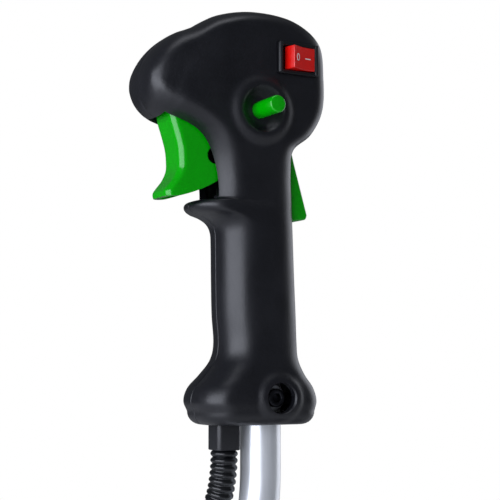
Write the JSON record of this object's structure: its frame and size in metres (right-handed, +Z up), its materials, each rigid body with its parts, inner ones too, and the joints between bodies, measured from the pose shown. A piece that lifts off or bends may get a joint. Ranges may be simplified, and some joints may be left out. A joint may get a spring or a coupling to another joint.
{
  "type": "string trimmer control handle",
  "caption": "Pistol-grip throttle handle on a bent handlebar end, with trigger, rear lock-out lever, half-throttle button, rocker stop switch and tied cable conduit.",
  "frame": {"origin": "centre of the handlebar tube's cut lower end, where it goes into the trimmer's handle clamp", "axes": "+Z up along the grip, -X the side the trigger is on, -Y the side with the rocker switch and the button"},
  "size_m": [0.1396, 0.1416, 0.4061],
  "materials": {
    "shell_nylon": "fine grained, satin",
    "tube_aluminium": "satin drawn",
    "inner_plastic": "matte",
    "blackened_steel": "oil blackened",
    "zinc_steel": "bright zinc",
    "spring_steel": "drawn wire",
    "green_plastic": "glossy",
    "switch_black": "semi gloss",
    "rocker_red": "glossy",
    "brass_terminals": "plain",
    "red_sleeve": "soft gloss",
    "cable_jacket": "matte",
    "conduit_plastic": "semi gloss",
    "tie_nylon": "matte",
    "nipple_brass": "plain"
  },
  "bodies": {
    "housing": {"left_shell": "shell_nylon", "right_shell": "shell_nylon", "handlebar_tube": "tube_aluminium", "tube_end_cap": "inner_plastic", "clamp_bolt": "blackened_steel", "clamp_washer": "zinc_steel", "clamp_nut": "zinc_steel", "housing_screws": "zinc_steel", "trigger_pivot_pin": "zinc_steel", "trigger_spring": "spring_steel", "lever_pivot_pin": "zinc_steel", "lever_spring": "spring_steel", "button_spring": "spring_steel", "switch_body": "switch_black", "switch_terminals": "brass_terminals", "spade_connectors": "red_sleeve", "switch_leads": "cable_jacket", "cable_adjuster": "zinc_steel", "adjuster_nut": "zinc_steel", "throttle_cable_outer": "cable_jacket", "conduit_adaptor": "inner_plastic", "conduit_lead": "conduit_plastic", "conduit_coil": "conduit_plastic", "coil_ties": "tie_nylon", "conduit_end_cap": "inner_plastic", "cable_end_sleeve": "cable_jacket", "stop_leads": "cable_jacket", "stop_connectors": "brass_terminals"},
    "trigger": {"trigger": "green_plastic"},
    "lockout_lever": {"lockout_lever": "green_plastic"},
    "lock_button": {"lock_button": "green_plastic"},
    "rocker": {"rocker": "rocker_red"},
    "throttle_wire": {"throttle_wire": "spring_steel", "wire_nipple": "nipple_brass"},
    "cable_end": {"cable_end_wire": "nipple_brass"}
  },
  "joints": [
    {"name": "trigger_pivot", "type": "hinge", "parent": "housing", "child": "trigger", "pos_m": [0.01643, 0.05071, 0.26617], "axis": [0, -1, 0], "range_deg": [0, 17], "stiffness_Nm_per_rad": 0.6, "springref_deg": -20.05},
    {"name": "lever_pivot", "type": "hinge", "parent": "housing", "child": "lockout_lever", "pos_m": [0.06843, 0.05071, 0.25517], "axis": [0, 1, 0], "range_deg": [0, 11], "stiffness_Nm_per_rad": 0.3, "springref_deg": -17.19},
    {"name": "button_slide", "type": "slide", "parent": "housing", "child": "lock_button", "axis": [0, 1, 0], "range_m": [0, 0.004], "stiffness_N_per_m": 400, "springref_m": -0.004},
    {"name": "rocker_pivot", "type": "hinge", "parent": "housing", "child": "rocker", "pos_m": [0.06923, 0.03231, 0.28547], "axis": [0, 0, -1], "range_deg": [0, 32]},
    {"name": "wire_slide", "type": "slide", "parent": "housing", "child": "throttle_wire", "axis": [0, 0, 1], "range_m": [0, 0.0073]},
    {"name": "cable_end_slide", "type": "slide", "parent": "housing", "child": "cable_end", "axis": [0, 0, 1], "range_m": [0, 0.0073]}
  ],
  "couplings": [
    {"joint": "wire_slide", "follows": "trigger_pivot", "m_per_rad": 0.0239},
    {"joint": "cable_end_slide", "follows": "trigger_pivot", "m_per_rad": 0.0239}
  ]
}
